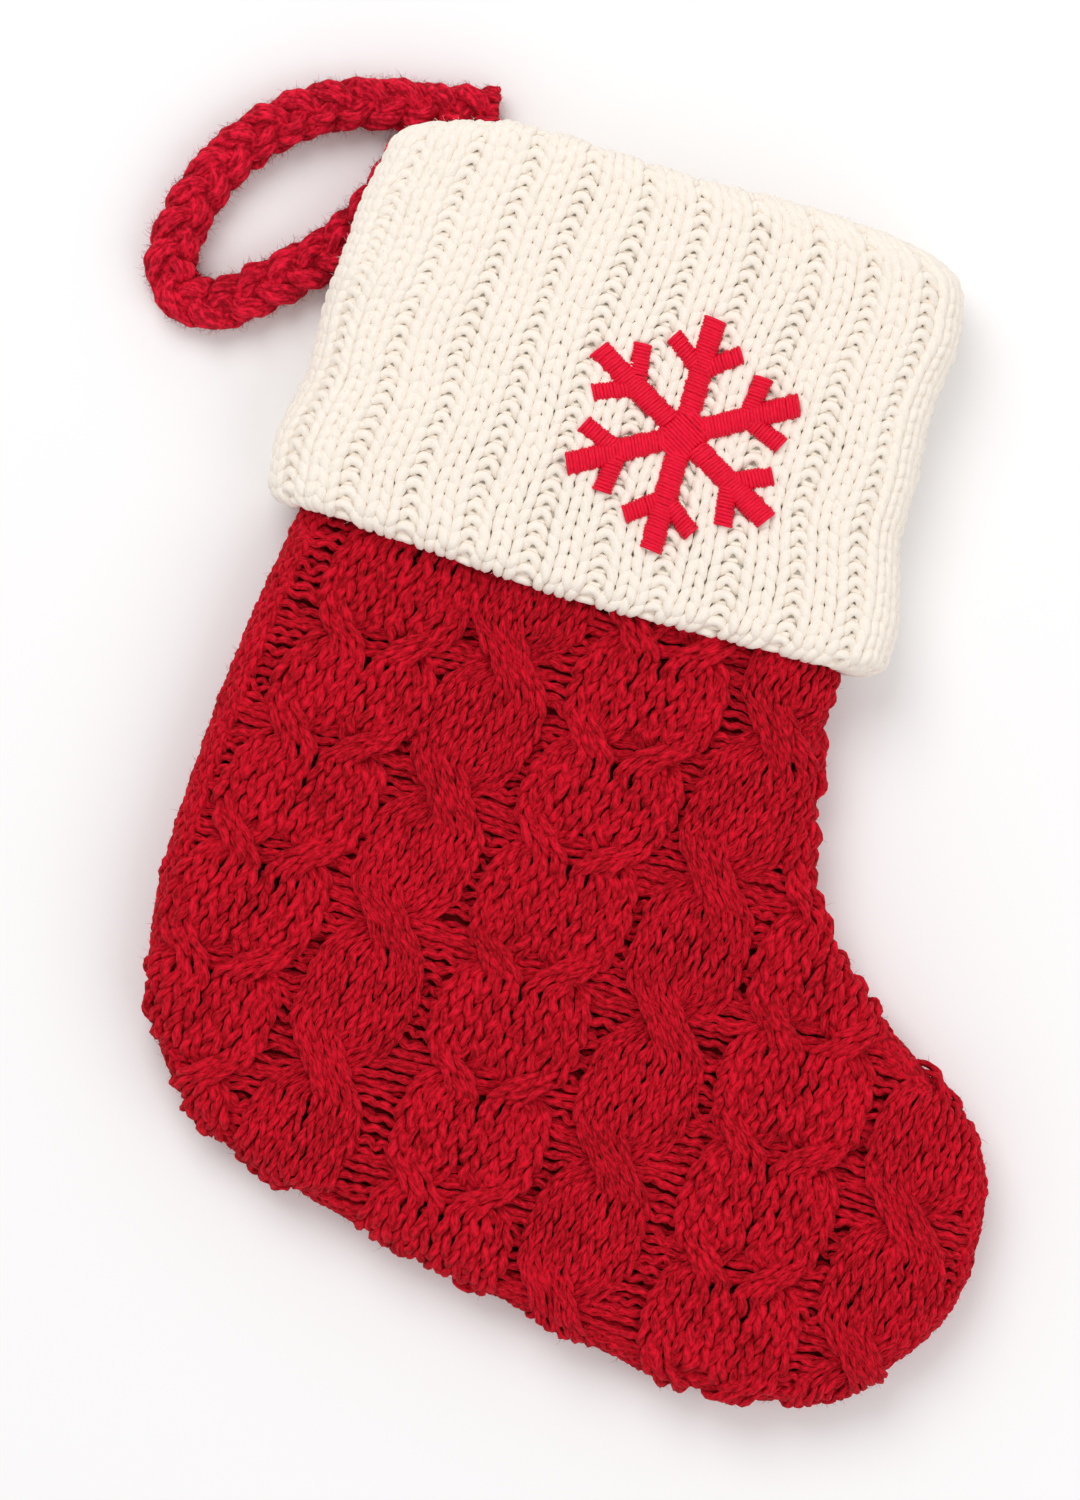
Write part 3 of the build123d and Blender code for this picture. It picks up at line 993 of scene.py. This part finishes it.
def build_cuff(cream, ground):
    """The cuff's ground and its rib, ten wales to an object, with loose fibres."""
    nodes = ("cuff_front_panel", "cuff_back_panel", "cuff_side_seam_left", "cuff_side_seam_right",
             "cuff_join_seam")
    core = cuff_core(ground)
    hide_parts(*nodes)
    total = 3 * CUFF_REPEATS
    share = 10
    for part, first in enumerate(range(0, total, share), 1):
        groups = []
        for number in range(first, min(first + share, total)):
            groups.extend(cuff_wale(number))
        piece, verts, ring = yarn_object("cuff_rib_%d" % part, groups, cream, "stocking")
        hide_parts(*nodes)
        hair = fuzz("cuff_fibres_%d" % part, verts, ring, 3000, 1.4, cream, "stocking")
        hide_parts(*nodes)


def tack_stitches():
    """The short threads that cross the sewn-down end of the cord."""
    t = np.linspace(-1.2, 1.2, 13)
    stitches = []
    for x in np.arange(TACK_X[0], TACK_X[1], TACK_PITCH):
        high = np.interp(x, [-75, -62], [112.4, 115.4])
        arch = CORD_Z + 3.2 + 0.9 * np.cos(t * 1.3)
        line = np.stack([x + 0.3 * t, high + 1.0 + 1.1 * t, arch], axis=-1)
        stitches.append(line + rng.normal(0, 0.1, (1, 3)))
    return tubes(np.array(stitches), TACK_THREAD, sides=6, twist=2.0)


def build_loop(red):
    """The free loop, the sewn-down end of the same cord and its tack stitches."""
    points = nurbs_points("loop_line", LOOP_ROUTE)
    groups, line = plait(points)
    piece, verts, ring = yarn_object("hanging_loop_plait", groups, red, "loop")
    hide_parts("hanging_loop")
    path = [tuple(p * MM) for p in line]
    length = float(np.linalg.norm(np.diff(line, axis=0), axis=1).sum()) * MM
    for number in (1, 2):
        name = "hanging_loop_fibres_%d" % number
        fuzz(name, verts, ring, 13000, 1.8, red, "loop")
    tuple(path[0])
    points = nurbs_points("end_line", END_ROUTE)
    groups, _ = plait(points[::-1], joined=True)
    piece, verts, ring = yarn_object("loop_sewn_end", groups, red, "stocking")
    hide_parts("loop_end")
    hair = fuzz("loop_sewn_end_fibres", verts, ring, 2500, 1.5, red, "stocking")
    tie, _, _ = yarn_object("loop_tack_thread", [tack_stitches()], red, "stocking")
    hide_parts("loop_tack_stitches")


def build_stage():
    """A white table top, a pale room and two soft lamps."""
    half = 3.0
    corners = [(-half, -half, 0), (half, -half, 0), (half, half, 0), (-half, half, 0)]
    mesh = bpy.data.meshes.new("table_top")
    mesh.from_pydata(corners, [], [(0, 1, 2, 3)])
    mesh.materials.append(plain_material("table_white", (0.93, 0.925, 0.93), 0.9))
    floor = bpy.data.objects.new("table_top", mesh)
    bpy.context.scene.collection.objects.link(floor)
    scene = bpy.context.scene
    scene.view_settings.view_transform = "Standard"
    world = bpy.data.worlds.new("soft_room")
    scene.world = world
    world.use_nodes = True
    back = world.node_tree.nodes["Background"]
    back.inputs["Color"].default_value = (1.0, 0.985, 0.98, 1)
    back.inputs["Strength"].default_value = 0.62
    lamps = [("key", (-0.55, 0.65, 1.1), 0.9, 8.0), ("fill", (0.9, -0.3, 1.0), 1.2, 5.0)]
    for name, at, size, power in lamps:
        light = bpy.data.lights.new(name, "AREA")
        light.shape = "DISK"
        light.size = size
        light.energy = power
        lamp = bpy.data.objects.new(name, light)
        lamp.location = at
        direction = -np.array(at)
        lamp.rotation_euler = [math.atan2(math.hypot(direction[0], direction[1]), -direction[2]),
                               0, math.atan2(direction[1], direction[0]) - math.pi / 2]
        scene.collection.objects.link(lamp)


def build_camera():
    """Straight above, turned so that the stocking leans to the right."""
    view_height = 0.300
    view_centre = (-0.022, -0.0023)
    view_turn = 15.7
    camera = bpy.data.cameras.new("camera")
    camera.lens = 100.0
    camera.sensor_fit = "VERTICAL"
    camera.sensor_height = 24.0
    camera.clip_end = 20
    distance = view_height * camera.lens / camera.sensor_height
    obj = bpy.data.objects.new("camera", camera)
    obj.location = (*view_centre, distance + CUFF_MID * MM)
    obj.rotation_euler = (0, 0, math.radians(view_turn))
    bpy.context.scene.collection.objects.link(obj)
    bpy.context.scene.camera = obj


build_stage()
build_camera()
red = yarn_material("red_yarn_look", (0.25, 0.0, 0.003), (0.73, 0.005, 0.024),
                    0.85, 0.2, 1.5, 1.0, (0.36, 0.62))
cord_red = yarn_material("red_cord_look", (0.34, 0.001, 0.011), (0.87, 0.011, 0.044),
                         0.85, 0.25, 1.6, 1.0, (0.4, 0.6))
# The red ground is darker than the red yarn: painted shade that shows in the gaps between the
# stitches.
red_shade_ground = plain_material("red_ground_painted_shade", (0.13, 0.0, 0.001), 0.95)
cream = yarn_material("cream_yarn_look", (0.89, 0.815, 0.72), (0.95, 0.875, 0.79),
                      0.9, 0.25, 3.2, 0.25)
# The cream ground is greyer and darker than the cream yarn: painted shade that shows in the holes
# between the stitches.
cream_shade_ground = plain_material("cream_ground_painted_shade", (0.68, 0.65, 0.57), 0.95)
satin = yarn_material("satin_thread_look", (0.66, 0.005, 0.028), (0.95, 0.010, 0.05),
                      0.5, 0.05, 2.0, 0.3)
build_loop(cord_red)
build_boot(red, red_shade_ground)
build_cuff(cream, cream_shade_ground)
snowflake(satin)
